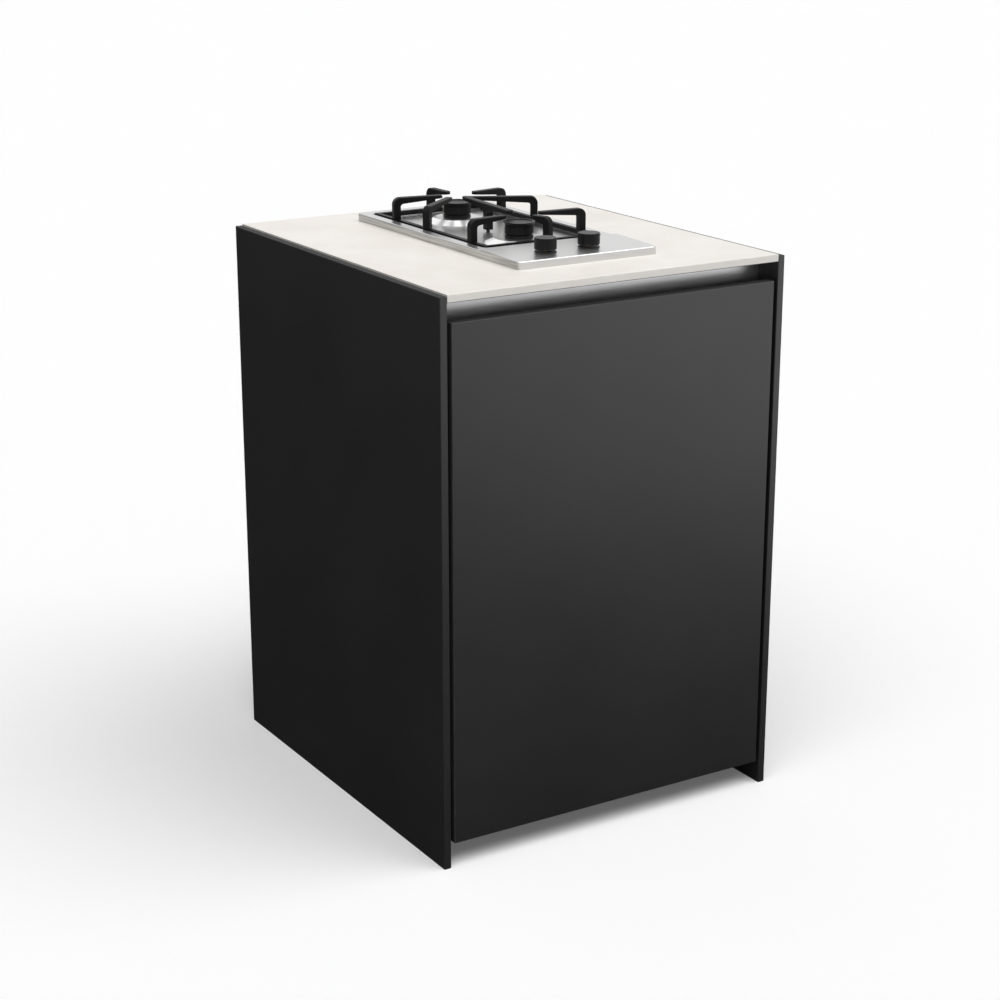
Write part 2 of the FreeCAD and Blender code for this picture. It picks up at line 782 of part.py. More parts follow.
tray_corner = cutout_corner - cutout_gap
tray_middle = tray_under + tray_depth / 2
tray = new_body("hob_tray")
pad(tray, "XY_Plane", "tray_pad", tray_under, tray_top - tray_under, rectangle(tray_x, tray_y))
pocket(tray, "XY_Plane", "tray_room", tray_floor, tray_top - tray_floor,
       rectangle(tray_inner_x, tray_inner_y), upward=True)
soften(tray, "Fillet", "tray_room_corners", tray_corner - tray_sheet,
       [(x, y, tray_middle) for x in tray_inner_x for y in tray_inner_y])
soften(tray, "Fillet", "tray_corners", tray_corner, [(x, y, tray_middle) for x in tray_x for y in tray_y])
bore(tray, "inlet_way", "z", nipple_radius + running_gap, (inlet_x, inlet_y), tray_under, tray_floor)
keep(tray, "hob_tray")
clamps = []
for side, wall, away in (("left", tray_x[0], -1), ("right", tray_x[1], 1)):
    for place, y in (("front", hob_front + clamp_inset), ("rear", hob_rear - clamp_inset)):
        name = f"{side}_{place}_clamp"
        span_y = (y - clamp_width / 2, y + clamp_width / 2)
        leg_x = (wall - clamp_thick, wall) if away < 0 else (wall, wall + clamp_thick)
        foot_x = (wall - clamp_reach, wall) if away < 0 else (wall, wall + clamp_reach)
        leg = block(f"{name}_leg", leg_x, span_y, (slab_under - clamp_drop, slab_under))
        foot = block(f"{name}_foot", foot_x, span_y, (slab_under - clamp_thick, slab_under))
        clamps.append(join(name, leg, foot))
keep(group("hob_clamps", *clamps), "hob_clamps")

# Burners: cup under the plate, lift-off head with flame slots, lift-off cap
neck_top = ring_height + neck_height
crown_top = neck_top + crown_height
crown_inner = crown_radius - crown_wall
throat_bore = throat_radius - throat_wall
spigot_outer = crown_inner - rest_gap
flare_radius = crown_radius + cap_flare
flare_top = cap_skirt + cap_flare
cap_top = flare_top + cap_lip
flange_under = -hob_sheet - cup_flange


def burner_cup(place, x, y, boss_axis):
    body = turned(f"{place}_burner_cup", [
        (0, -cup_depth - cup_base),
        (throat_hole, -cup_depth - cup_base),
        (cup_radius, -cup_depth - cup_base + cup_wall),
        (cup_radius, -cup_flange),
        (cup_flange_radius, -cup_flange),
        (cup_flange_radius, 0),
        (throat_hole, 0),
        (throat_hole, -cup_depth),
        (0, -cup_depth),
    ], x, y, cup_top)
    stub(body, f"{place}_boss", boss_axis, boss_radius, (0, -cup_depth - cup_base / 2),
         -boss_reach, -throat_bore)
    for probe, (right, back) in probe_spots.items():
        bore(body, f"{place}_{probe}_hole", "z", probe_radius + running_gap, (right, back), -cup_flange, 0)
    return keep(body, f"{place}_burner_cup")


def burner_head(place, x, y):
    body = turned(f"{place}_burner_head", [
        (throat_bore, -throat_length),
        (throat_radius, -throat_length),
        (throat_radius, 0),
        (ring_radius, 0),
        (ring_radius, ring_height - edge_chamfer),
        (ring_radius - edge_chamfer, ring_height),
        (neck_radius, ring_height),
        (neck_radius, neck_top),
        (crown_radius - crown_chamfer, neck_top),
        (crown_radius, neck_top + crown_chamfer),
        (crown_radius, crown_top),
        (crown_inner, crown_top),
        (crown_inner, neck_top + crown_wall),
        (throat_bore, neck_top + crown_wall),
    ], x, y, dome_top)
    slot = hollow(body, f"{place}_slot", (crown_inner - crown_wall / 2, crown_radius + crown_wall / 2),
                  (-slot_width / 2, slot_width / 2), (crown_top - slot_depth, crown_top))
    repeat_round(body, f"{place}_slots", slot, flame_slots)
    return keep(body, f"{place}_burner_head")


def burner_cap(place, x, y):
    body = turned(f"{place}_burner_cap", [
        (0, 0),
        (spigot_outer - throat_wall, 0),
        (spigot_outer - throat_wall, -spigot_depth),
        (spigot_outer, -spigot_depth),
        (spigot_outer, 0),
        (crown_radius, 0),
        (crown_radius, cap_skirt),
        (flare_radius, flare_top),
        (flare_radius, cap_top),
        (crown_radius, cap_top),
        (crown_radius - cap_flare, cap_top - cap_dish),
        (0, cap_top - cap_dish),
    ], x, y, dome_top + crown_top)
    return keep(body, f"{place}_burner_cap")


def probe_rod(name, x, y, tip_radius, tip_height):
    # Ceramic or metal rod held by its collar under the burner cup's flange.
    body = turned(name, [
        (0, flange_under - probe_drop),
        (probe_radius, flange_under - probe_drop),
        (probe_radius, flange_under - collar_height),
        (probe_collar, flange_under - collar_height),
        (probe_collar, flange_under),
        (probe_radius, flange_under),
        (probe_radius, probe_height),
        (tip_radius, probe_height),
        (tip_radius, probe_height + tip_height),
        (0, probe_height + tip_height),
    ], x, y, dome_top)
    return keep(body, name)


for place, y in burner_y.items():
    x = burner_x[place]
    burner_cup(place, x, y, "x" if place == "front" else "y")
    keep(turned(f"{place}_injector", [
        (0, 0),
        (injector_radius, 0),
        (injector_radius, injector_height * 2 / 3),
        (injector_radius / 2, injector_height),
        (0, injector_height),
    ], x, y, cup_top - cup_depth), f"{place}_injector")
    burner_head(place, x, y)
    burner_cap(place, x, y)
    probe_rod(f"{place}_electrode", x + electrode_right, y + electrode_back, wire_radius, wire_height)
    probe_rod(f"{place}_thermocouple", x - thermocouple_left, y + thermocouple_back,
              probe_radius - wire_radius, wire_height / 2)

# Pan support: a low frame of rails in the well, with posts that bend over
# into tapered fingers round each burner
finger_top = rim_top + support_height
finger_under = finger_top - finger_height
half_finger = finger_width / 2
rail_low = rim_top + bar_proud - bar_height
frame_x = (well_x[0] + support_gap, well_x[1] - support_gap)
frame_y = (well_y[0] + support_gap, well_y[1] - support_gap)
rail_left = frame_x[0] + bar_width / 2
rail_right = frame_x[1] - bar_width / 2
rail_front = frame_y[0] + bar_width / 2
rail_rear = frame_y[1] - bar_width / 2
front_burner = (burner_x["front"], burner_y["front"])
rear_burner = (burner_x["rear"], burner_y["rear"])
line_across = rear_burner[0] - front_burner[0]
line_along = rear_burner[1] - front_burner[1]
line_length = distance(line_across, line_along)


def on_burner_line(reach):
    # Point on the line between the burners, a distance from the rear one.
    share = reach / line_length
    return (rear_burner[0] - line_across * share, rear_burner[1] - line_along * share)


def aim(body, across, along):
    body.Placement = Placement(Vector(), Rotation(Vector(0, 0, 1), 1))
    bind(body, "Placement.Rotation.Angle", bearing(across, along))


def finger(name, x, y, target, tip_gap):
    # Post on a rail, bent over towards a target and ending short of it.
    across = target[0] - x
    along = target[1] - y
    reach = distance(across, along) - tip_gap
    body = new_body(f"{name}_finger")
    pad(body, "XZ_Plane", f"{name}_finger_pad", -half_finger, finger_width, [
        (-half_finger, rail_low),
        (-half_finger, finger_top),
        (reach - tip_bevel, finger_top),
        (reach, finger_top - tip_bevel),
        (reach, finger_top - tip_height),
        (half_finger, finger_under),
        (half_finger, rail_low),
    ])
    soften(body, "Fillet", f"{name}_outer_knee", knee_outer, [(-half_finger, 0, finger_top)])
    soften(body, "Fillet", f"{name}_inner_knee", knee_inner, [(half_finger, 0, finger_under)])
    soften(body, "Chamfer", f"{name}_tip", tip_side,
           [(reach, edge, finger_top - tip_height / 2) for edge in (-half_finger, half_finger)])
    soften(body, "Chamfer", f"{name}_bevels", finger_bevel,
           [(reach / 2, edge, finger_top) for edge in (-half_finger, half_finger)])
    aim(body, across, along)
    put(body, x, y, 0)
    return body


frame = new_body("support_frame")
frame_inner_x = (frame_x[0] + bar_width, frame_x[1] - bar_width)
frame_inner_y = (frame_y[0] + bar_width, frame_y[1] - bar_width)
pad(frame, "XY_Plane", "support_frame_pad", rail_low, bar_height,
    rectangle(frame_x, frame_y), rectangle(frame_inner_x, frame_inner_y))

centre = new_body("centre_finger")
centre_post = on_burner_line(centre_post_before)
nose_spot = on_burner_line(nose_reach)
nose_run = centre_post_before - nose_reach
front_run = line_length - centre_post_before - tip_near
pad(centre, "XZ_Plane", "centre_finger_pad", -half_finger, finger_width, [
    (-half_finger, rail_low),
    (-half_finger, finger_under),
    (-front_run, finger_top - tip_height),
    (-front_run, finger_top - tip_bevel),
    (tip_bevel - front_run, finger_top),
    (nose_run, finger_top),
    (nose_run, finger_top - tip_height),
    (half_finger, finger_under),
    (half_finger, rail_low),
])
soften(centre, "Fillet", "centre_knees", knee_inner,
       [(-half_finger, 0, finger_under), (half_finger, 0, finger_under)])
soften(centre, "Chamfer", "centre_tip", tip_side,
       [(-front_run, edge, finger_top - tip_height / 2) for edge in (-half_finger, half_finger)])
soften(centre, "Chamfer", "centre_bevels", finger_bevel,
       [(0, edge, finger_top) for edge in (-half_finger, half_finger)])
aim(centre, line_across, line_along)
put(centre, *centre_post, 0)
nose = rod("nose", "z", half_finger, nose_spot, finger_top - tip_height, finger_top)

rear_post = burner_y["rear"] + rear_post_after
middle_post = burner_y["rear"] - middle_post_before
side_post = burner_y["front"] - side_post_before
fingers = [
    finger("left_rear", rail_left, rear_post, rear_burner, tip_near),
    finger("left_middle", rail_left, middle_post, rear_burner, tip_far),
    finger("back", hob_shift, rail_rear, rear_burner, tip_near),
    finger("right_rear", rail_right, rear_post, rear_burner, tip_far),
    finger("right_middle", rail_right, middle_post, nose_spot, 0),
    finger("left_front", rail_left, side_post, front_burner, tip_near),
    finger("right_front", rail_right, side_post, front_burner, tip_far),
    finger("near", burner_x["front"] + near_post_right, rail_front, front_burner, tip_near),
]
keep(join("pan_support", frame, centre, nose, *fingers), "pan_support")
feet = [rod(f"foot_{i}", "z", foot_radius, (x, y), well_floor, rail_low)
        for i, (x, y) in enumerate((x, y) for x in (rail_left, rail_right) for y in (rail_front, rail_rear))]
feet.append(rod("centre_foot", "z", foot_radius, centre_post, well_floor, rail_low))
keep(group("pan_support_feet", *feet), "pan_support_feet")

# Knobs on push-and-turn gas taps that hang on the gas rail
panel_face = rim_top + slope * knob_set
knob_low = panel_face + bezel_thick + knob_lift
cover_top = panel_face - hob_sheet - tap_gap
chamber_top = cover_top - cover_thick
chamber_floor = chamber_top - chamber_depth
collar_top = chamber_top - rest_gap
seat_top = collar_top - seat_thick
seat_low = seat_top - seat_thick
manifold_y = hob_front + manifold_set


def gas_tap(side, x):
    spot = (x, knob_y)
    barrel = rod(f"{side}_tap_barrel", "z", tap_radius, spot, gas_level - tap_base, chamber_top)
    outlet = rod(f"{side}_tap_outlet", "y", boss_radius, (x, gas_level), knob_y, knob_y + outlet_reach)
    saddle = rod(f"{side}_tap_saddle", "y", boss_radius, (x, gas_level), manifold_y, knob_y)
    solid = join(f"{side}_tap_solid", barrel, outlet, saddle)
    chamber = rod(f"{side}_tap_chamber", "z", chamber_radius, spot, chamber_floor, chamber_top)
    guide = rod(f"{side}_tap_guide", "z", stem_radius + running_gap, spot,
                chamber_floor - stem_bore_depth, chamber_floor)
    seat = rod(f"{side}_tap_rail_seat", "x", manifold_radius, (manifold_y, gas_level),
               x - tap_radius, x + tap_radius)
    keep(cut(f"{side}_gas_tap", solid, chamber, guide, seat), f"{side}_gas_tap")

    lid = rod(f"{side}_lid", "z", tap_radius, spot, chamber_top, cover_top)
    lid_hole = rod(f"{side}_lid_hole", "z", stem_radius + running_gap, spot, chamber_top, cover_top)
    keep(cut(f"{side}_tap_cover", lid, lid_hole), f"{side}_tap_cover")

    washer = rod(f"{side}_washer", "z", chamber_radius - rest_gap, spot, seat_low, seat_top)
    washer_hole = rod(f"{side}_washer_hole", "z", stem_radius + running_gap, spot, seat_low, seat_top)
    keep(cut(f"{side}_spring_seat", washer, washer_hole), f"{side}_spring_seat")

    coil_radius = chamber_radius - rest_gap
    coil = rod(f"{side}_coil", "z", coil_radius, spot, chamber_floor, seat_low)
    coil_hole = rod(f"{side}_coil_hole", "z", coil_radius - spring_wall, spot, chamber_floor, seat_low)
    keep(cut(f"{side}_tap_spring", coil, coil_hole), f"{side}_tap_spring")

    stem_low = chamber_floor - stem_bore_depth + knob_push + rest_gap
    shaft = rod(f"{side}_shaft", "z", stem_radius, spot, stem_low, knob_low + stem_grip)
    collar = rod(f"{side}_collar", "z", stem_collar, spot, seat_top, collar_top)
    keep(join(f"{side}_tap_stem", shaft, collar), f"{side}_tap_stem")


def knob(side, x):
    body = turned(f"{side}_knob", [
        (stem_radius, edge_chamfer),
        (hub_radius, edge_chamfer),
        (hub_radius, knob_height - knob_wall),
        (knob_radius - knob_taper - knob_wall, knob_height - knob_wall),
        (knob_radius - knob_taper - knob_wall, 0),
        (knob_radius - knob_taper, 0),
        (knob_radius, knob_skirt),
        (knob_radius, knob_height - edge_chamfer),
        (knob_radius - edge_chamfer, knob_height),
        (0, knob_height),
        (0, stem_grip),
        (stem_radius, stem_grip),
    ], x, knob_y, knob_low)
    nub_top = knob_height - nub_drop
    fill_box(body.newObject("PartDesign::AdditiveBox", f"{side}_nub"),
             (knob_radius - knob_wall, knob_radius + nub_reach), (-nub_width / 2, nub_width / 2),
             (nub_top - nub_height, nub_top))
    return keep(body, f"{side}_knob")


def knob_bezel(side, x):
    # Flat ring on the sloped panel, its underside cut to the slope.
    hole = stem_radius + stem_hole_gap
    dip = slope * bezel_radius
    body = turned(f"{side}_knob_bezel", [
        (hole, -dip),
        (bezel_radius, -dip),
        (bezel_radius, bezel_thick - edge_chamfer),
        (bezel_radius - edge_chamfer, bezel_thick),
        (hole, bezel_thick),
    ], x, knob_y, panel_face)
    pocket(body, "YZ_Plane", f"{side}_bezel_seat", bezel_radius, bezel_radius * 2, [
        (-bezel_radius, -dip),
        (bezel_radius, -dip),
        (bezel_radius, dip),
    ])
    return keep(body, f"{side}_knob_bezel")


for side, x in knob_x.items():
    gas_tap(side, x)
    knob(side, x)
    knob_bezel(side, x)

# Gas rail from the inlet along the right side and across the front
side_run = (manifold_y + manifold_bend, inlet_y - inlet_reach)
rail_pipe = rod("rail_pipe", "x", manifold_radius, (manifold_y, gas_level),
                hob_left + manifold_start, inlet_x - manifold_bend)
rail_turn = elbow("rail_turn", manifold_bend, manifold_radius,
                  (inlet_x - manifold_bend, manifold_y + manifold_bend, gas_level), -90)
side_pipe = rod("side_pipe", "y", manifold_radius, (inlet_x, gas_level), *side_run)
keep(join("gas_manifold", rail_pipe, rail_turn, side_pipe), "gas_manifold")
clips = []
for side, x in knob_x.items():
    clip_x = (x - clip_width * 2, x - clip_width)
    foot = block(f"{side}_clip_block", clip_x,
                 (manifold_y - manifold_radius, manifold_y + manifold_radius), (tray_floor, gas_level))
    seat = rod(f"{side}_clip_seat", "x", manifold_radius, (manifold_y, gas_level), *clip_x)
    clips.append(cut(f"{side}_clip", foot, seat))
keep(group("manifold_clips", *clips), "manifold_clips")
nipple = rod("inlet_nipple", "z", nipple_radius, (inlet_x, inlet_y), tray_under - nipple_length, tray_floor)
upright = rod("inlet_upright", "z", inlet_radius, (inlet_x, inlet_y), tray_floor, gas_level + inlet_radius)
inlet_arm = rod("inlet_arm", "y", inlet_neck, (inlet_x, gas_level), inlet_y - inlet_reach, inlet_y)
keep(join("gas_inlet", nipple, upright, inlet_arm), "gas_inlet")

# Feed tubes: the front one bends into the side of its burner cup, the rear
# one jogs sideways and runs into the front of its cup
outlet_face = knob_y + outlet_reach
tube_x = knob_x["left"]
turn_y = burner_y["front"] - tube_bend
front_run_tube = rod("front_tube_run", "y", tube_radius, (tube_x, gas_level), outlet_face, turn_y)
front_turn = elbow("front_tube_turn", tube_bend, tube_radius, (tube_x + tube_bend, turn_y, gas_level), 90)
front_end = rod("front_tube_end", "x", tube_radius, (burner_y["front"], gas_level),
                tube_x + tube_bend, burner_x["front"] - boss_reach)
keep(join("front_feed_tube", front_run_tube, front_turn, front_end), "front_feed_tube")

tube_x = knob_x["right"]
jog_y = burner_y["rear"] - tube_jog_before
jog_x = (burner_x["rear"] + tube_bend, tube_x - tube_bend)
rear_run_tube = rod("rear_tube_run", "y", tube_radius, (tube_x, gas_level), outlet_face, jog_y - tube_bend)
rear_turn = elbow("rear_tube_turn", tube_bend, tube_radius, (jog_x[1], jog_y - tube_bend, gas_level), 0)
rear_jog = rod("rear_tube_jog", "x", tube_radius, (jog_y, gas_level), *jog_x)
rear_return = elbow("rear_tube_return", tube_bend, tube_radius, (jog_x[0], jog_y + tube_bend, gas_level), 180)
rear_end = rod("rear_tube_end", "y", tube_radius, (burner_x["rear"], gas_level),
               jog_y + tube_bend, burner_y["rear"] - boss_reach)
keep(join("rear_feed_tube", rear_run_tube, rear_turn, rear_jog, rear_return, rear_end), "rear_feed_tube")

ignition_x = hob_left + ignition_side
ignition_y = hob_front + ignition_set
keep(block("ignition_box", (ignition_x, ignition_x + ignition_width),
           (ignition_y, ignition_y + ignition_length),
           (tray_floor, tray_floor + ignition_height)), "ignition_box")

doc.recompute()
for item in doc.Objects:
    if "Invalid" in item.State or "Error" in item.State:
        raise RuntimeError(f"{item.Name} failed to build")
for piece in pieces:
    if piece.Shape.isNull() or not piece.Shape.isValid() or not piece.Shape.Solids:
        raise RuntimeError(f"{piece.Label} has no valid solid")

os.makedirs("parts", exist_ok=True)
for piece in pieces:
    piece.Shape.exportStep(f"parts/{piece.Label}.step")
print(len(pieces), "pieces,", sum(len(piece.Shape.Solids) for piece in pieces), "solids")
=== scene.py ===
import json
import math

import bpy
from mathutils import Matrix, Vector


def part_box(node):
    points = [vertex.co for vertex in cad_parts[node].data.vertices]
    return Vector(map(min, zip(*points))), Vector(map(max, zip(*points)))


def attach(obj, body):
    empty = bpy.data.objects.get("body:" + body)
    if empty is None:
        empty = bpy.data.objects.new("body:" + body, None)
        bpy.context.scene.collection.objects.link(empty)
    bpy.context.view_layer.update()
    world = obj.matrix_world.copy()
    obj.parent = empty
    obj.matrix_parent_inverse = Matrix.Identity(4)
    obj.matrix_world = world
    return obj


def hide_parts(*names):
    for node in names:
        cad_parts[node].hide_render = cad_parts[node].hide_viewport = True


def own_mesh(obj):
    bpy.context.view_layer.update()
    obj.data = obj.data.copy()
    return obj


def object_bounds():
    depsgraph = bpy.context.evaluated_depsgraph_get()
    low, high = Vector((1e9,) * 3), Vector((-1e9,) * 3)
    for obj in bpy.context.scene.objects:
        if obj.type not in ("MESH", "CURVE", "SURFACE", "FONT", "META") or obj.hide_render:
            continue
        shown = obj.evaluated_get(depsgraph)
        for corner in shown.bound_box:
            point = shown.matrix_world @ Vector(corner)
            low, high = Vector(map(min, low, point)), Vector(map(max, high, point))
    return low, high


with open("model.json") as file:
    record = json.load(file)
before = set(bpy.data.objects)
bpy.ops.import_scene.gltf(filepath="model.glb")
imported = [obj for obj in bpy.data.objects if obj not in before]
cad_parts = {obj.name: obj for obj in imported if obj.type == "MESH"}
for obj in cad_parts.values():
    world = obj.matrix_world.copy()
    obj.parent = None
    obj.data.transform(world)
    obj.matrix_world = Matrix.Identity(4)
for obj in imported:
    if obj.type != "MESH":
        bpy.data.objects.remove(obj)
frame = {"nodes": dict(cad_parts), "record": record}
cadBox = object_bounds()
nodes = frame["nodes"]
print("frame loaded:", len(nodes), "nodes")


# Selecting
def deselectAll():
    bpy.ops.object.select_all(action="DESELECT")


def editOnly(piece, kind, wanted):
    # Enters edit mode with only the wanted edges or faces selected.
    bpy.ops.object.mode_set(mode="EDIT")
    bpy.ops.mesh.select_all(action="DESELECT")
    bpy.ops.object.mode_set(mode="OBJECT")
    parts = piece.data.edges if kind == "EDGE" else piece.data.polygons
    for part in parts:
        part.select = wanted(part)
    bpy.ops.object.mode_set(mode="EDIT")
    bpy.ops.mesh.select_mode(type=kind)


# Node trees
def newMaterial(name, **settings):
    mat = bpy.data.materials.new(name)
    mat.use_nodes = True
    shader = mat.node_tree.nodes["Principled BSDF"]
    for socket, value in settings.items():
        shader.inputs[socket.replace("_", " ")].default_value = value
    return mat, mat.node_tree, shader


def bareMaterial(name):
    # Material without a shader, and the socket that takes one.
    mat, tree, shader = newMaterial(name)
    tree.nodes.remove(shader)
    return mat, tree, tree.nodes["Material Output"].inputs["Surface"]


def addNode(tree, kind, **settings):
    node = tree.nodes.new(kind)
    for key, value in settings.items():
        if hasattr(node, key):
            setattr(node, key, value)
        else:
            node.inputs[key.replace("_", " ")].default_value = value
    return node


def feed(tree, value, socket):
    # Links a socket, or sets a number or a colour.
    if isinstance(value, bpy.types.NodeSocket):
        tree.links.new(value, socket)
    else:
        socket.default_value = (*value, 1) if isinstance(value, tuple) else value


def maths(tree, operation, *values):
    node = addNode(tree, "ShaderNodeMath", operation=operation)
    for value, socket in zip(values, node.inputs):
        feed(tree, value, socket)
    return node.outputs[0]


def objectCoords(tree, scale=(1, 1, 1)):
    coords = addNode(tree, "ShaderNodeTexCoord")
    mapping = addNode(tree, "ShaderNodeMapping", Scale=scale)
    tree.links.new(coords.outputs["Object"], mapping.inputs["Vector"])
    return mapping.outputs["Vector"]


def splitAxes(tree, vector):
    node = addNode(tree, "ShaderNodeSeparateXYZ")
    tree.links.new(vector, node.inputs[0])
    return node.outputs


def noise(tree, vector, scale, detail=4, roughness=0.55):
    node = addNode(tree, "ShaderNodeTexNoise", Scale=scale, Detail=detail, Roughness=roughness)
    tree.links.new(vector, node.inputs["Vector"])
    return node.outputs["Fac"]


def ramp(tree, source, *stops):
    # Colour ramp from (place, colour) stops.
    node = addNode(tree, "ShaderNodeValToRGB")
    points = node.color_ramp.elements
    while len(points) < len(stops):
        points.new(0.5)
    for point, (place, colour) in zip(points, stops):
        point.position = place
        point.color = (*colour, 1)
    tree.links.new(source, node.inputs["Fac"])
    return node.outputs["Color"]


def spread(tree, source, low, high, start=0, end=1):
    # Maps start to end onto low to high.
    node = addNode(tree, "ShaderNodeMapRange")
    for socket, value in zip(("From Min", "From Max", "To Min", "To Max"), (start, end, low, high)):
        node.inputs[socket].default_value = value
    tree.links.new(source, node.inputs["Value"])
    return node.outputs["Result"]


def blend(tree, share, low, high, mode="MIX"):
    # Mix of two numbers, colours or sockets.
    isColour = isinstance(high, tuple) or getattr(high, "type", "") == "RGBA"
    node = addNode(tree, "ShaderNodeMix", data_type="RGBA" if isColour else "FLOAT", blend_type=mode)
    sockets = [socket for socket in node.inputs if socket.enabled]
    for value, socket in zip((share, low, high), sockets):
        feed(tree, value, socket)
    return next(socket for socket in node.outputs if socket.enabled)


def bump(tree, shader, source, strength, depth):
    node = addNode(tree, "ShaderNodeBump", Strength=strength, Distance=depth)
    tree.links.new(source, node.inputs["Height"])
    tree.links.new(node.outputs["Normal"], shader.inputs["Normal"])


def grey(level):
    return (level, level, level)


def shade(colour, factor):
    return tuple(min(1, part * factor) for part in colour)


# Masks
wearAndHighlight = {
    "samples": 4,
    "match": (0.97, 0.8),  # agreement of the rounded and the real normal where the wear and painted highlight start and are full
    "patch": 60,
    "patchShare": (0.2, 1),  # share of the wear between patches and in them
    "patchRange": (0.35, 0.65),  # noise levels of both
}


def facing(tree, axis, start=0.55, end=0.85):
    # 1 on faces that look along the axis either way and 0 beside it, or reversed with start above end.
    coords = addNode(tree, "ShaderNodeTexCoord")
    along = maths(tree, "ABSOLUTE", splitAxes(tree, coords.outputs["Normal"])[axis])
    return spread(tree, along, 0, 1, start, end)


def insideBox(tree, nodeName):
    # 1 within a node's box, seen from above.
    place = splitAxes(tree, objectCoords(tree))
    shares = []
    for axis, start, end in zip("XY", *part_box(nodeName)):
        shares.append(maths(tree, "COMPARE", place[axis], (start + end) / 2, (end - start) / 2))
    return maths(tree, "MULTIPLY", *shares)


def wornAndHighlitEdge(tree, vector, radius):
    # 1 along sharp edges, broken up by noise, where colour is lightened as wear and painted highlight.
    rounded = addNode(tree, "ShaderNodeBevel", samples=wearAndHighlight["samples"], Radius=radius)
    surface = addNode(tree, "ShaderNodeNewGeometry")
    match = addNode(tree, "ShaderNodeVectorMath", operation="DOT_PRODUCT")
    tree.links.new(rounded.outputs["Normal"], match.inputs[0])
    tree.links.new(surface.outputs["Normal"], match.inputs[1])
    edge = spread(tree, match.outputs["Value"], 0, 1, *wearAndHighlight["match"])
    patches = noise(tree, vector, wearAndHighlight["patch"], detail=3)
    return maths(tree, "MULTIPLY", edge, spread(tree, patches, *wearAndHighlight["patchShare"], *wearAndHighlight["patchRange"]))


# Laminate of the panels, the door and the carcass
laminate = {
    "dark": 0.012,
    "light": 0.016,
    "cloud": 3.5,
    "cloudRange": (0.3, 0.7),  # noise levels of dark and light
    "smudge": 9,
    "rough": (0.34, 0.42),
    "gloss": 0.6,
    "grain": 900,
    "bump": (0.12, 0.0002),  # strength and depth
    # darker colour painted on the dull faces as their shade
    "edgeShade": 0.006,
    "edgeRough": 0.92,
    "wornAndHighlit": (0.0008, 0.05),  # reach of the wear and painted edge highlight, and how light it is
}
door = dict(laminate, wornAndHighlit=(0.0012, 0.08))
carcass = dict(laminate, dark=0.028, light=0.04, rough=(0.5, 0.62), wornAndHighlit=(0.0006, 0.09))


def panelFaces(tree):
    # Side panels are dull on their top and foot alone, and there painted darker as painted shade.
    return facing(tree, "Z", 0.85, 0.55)


def doorFaces(tree):
    # The door is dull on its four edges, and there painted darker as painted shade.
    return facing(tree, "Y")


def laminateMaterial(name, settings, glossyUnshadedFaces=None):
    mat, tree, shader = newMaterial(name, Specular_IOR_Level=settings["gloss"])
    vector = objectCoords(tree)
    cloud = noise(tree, vector, settings["cloud"], detail=5)
    darkest, lightest = settings["cloudRange"]
    colour = ramp(tree, cloud, (darkest, grey(settings["dark"])), (lightest, grey(settings["light"])))
    smudge = noise(tree, vector, settings["smudge"], detail=6, roughness=0.65)
    rough = spread(tree, smudge, *settings["rough"])
    if glossyUnshadedFaces:
        glossyUnshaded = glossyUnshadedFaces(tree)
        # Painted shade: the dull faces take the darker edge colour.
        colour = blend(tree, glossyUnshaded, grey(settings["edgeShade"]), colour)
        rough = blend(tree, glossyUnshaded, settings["edgeRough"], rough)
    edgeReach, edgeLightLevel = settings["wornAndHighlit"]
    # Wear and painted highlight: sharp edges turn lighter.
    colour = blend(tree, wornAndHighlitEdge(tree, vector, edgeReach), colour, grey(edgeLightLevel))
    tree.links.new(colour, shader.inputs["Base Color"])
    tree.links.new(rough, shader.inputs["Roughness"])
    bump(tree, shader, noise(tree, vector, settings["grain"], detail=2), *settings["bump"])
    return mat


panelLaminate = laminateMaterial("panelLaminate", laminate, panelFaces)
doorLaminate = laminateMaterial("doorLaminate", door, doorFaces)
carcassLaminate = laminateMaterial("carcassLaminate", carcass)


# Stone of the slab
stone = {
    "cloud": 7,
    "tones": (  # noise level and colour
        (0.32, (0.805, 0.763, 0.718)),
        (0.5, (0.86, 0.817, 0.772)),
        (0.68, (0.895, 0.86, 0.82)),
    ),
    "speck": 420,
    "speckTones": ((0.36, (0.86, 0.84, 0.82)), (0.48, (1, 1, 1))),
    "speckShare": 0.35,
    "rough": (0.4, 0.58),
    "gloss": 0.35,
    "bump": (0.05, 0.0003),  # strength and depth
    # darker colour painted on the slab's upright sides as their shade
    "shadedSide": (0.7, 0.673, 0.636),
    # dark line painted along the slab's foot as its shadow: colour, height and soft upper edge
    "underShade": (0.1, 0.095, 0.09),
    "underShadeLine": 0.0009,
    "underShadeFade": 0.0002,
}


def stoneMaterial(name, settings):
    mat, tree, shader = newMaterial(name, Specular_IOR_Level=settings["gloss"])
    vector = objectCoords(tree)
    cloud = noise(tree, vector, settings["cloud"], detail=7, roughness=0.62)
    colour = ramp(tree, cloud, *settings["tones"])
    speck = noise(tree, vector, settings["speck"], detail=3, roughness=0.6)
    fleck = ramp(tree, speck, *settings["speckTones"])
    colour = blend(tree, settings["speckShare"], colour, fleck, "MULTIPLY")
    # Painted shade: the slab's upright sides take a darker colour.
    colour = blend(tree, facing(tree, "Z"), settings["shadedSide"], colour)
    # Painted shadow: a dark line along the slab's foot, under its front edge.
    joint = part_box("countertop_slab")[0][2] + settings["underShadeLine"]
    underShaded = spread(tree, splitAxes(tree, vector)["Z"], 1, 0, joint, joint + settings["underShadeFade"])
    colour = blend(tree, underShaded, colour, settings["underShade"])
    tree.links.new(colour, shader.inputs["Base Color"])
    tree.links.new(spread(tree, cloud, *settings["rough"]), shader.inputs["Roughness"])
    bump(tree, shader, speck, *settings["bump"])
    return mat


paleStone = stoneMaterial("paleStone", stone)


